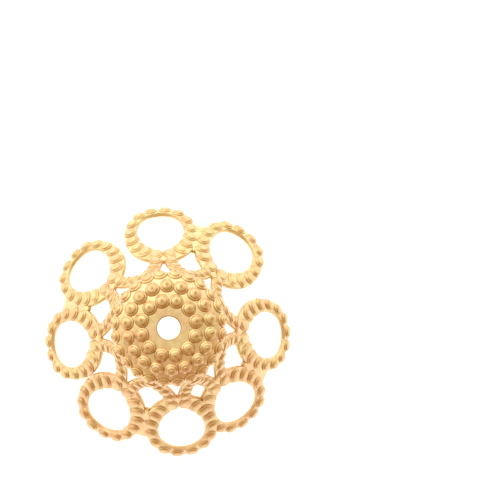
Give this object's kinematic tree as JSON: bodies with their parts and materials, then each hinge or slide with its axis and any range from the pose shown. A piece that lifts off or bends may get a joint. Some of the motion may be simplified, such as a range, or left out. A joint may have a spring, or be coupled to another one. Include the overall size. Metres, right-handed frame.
{
  "type": "filigree bead cap",
  "caption": "Stamped brass filigree bead cap: a granulated domed crown with a thread hole, a zigzag lattice and flaring teardrop petals.",
  "frame": {"origin": "centre of the thread hole at the crown's outer face", "axes": "+Z along the thread hole, out of the crown; the mouth and the petal tips are towards -Z; the first petal points 94 degrees from +X, close to +Y"},
  "size_m": [0.015, 0.0151, 0.0103],
  "materials": {
    "brass": "satin raw brass"
  },
  "bodies": {
    "root": {"bead_cap": "brass"}
  },
  "joints": []
}
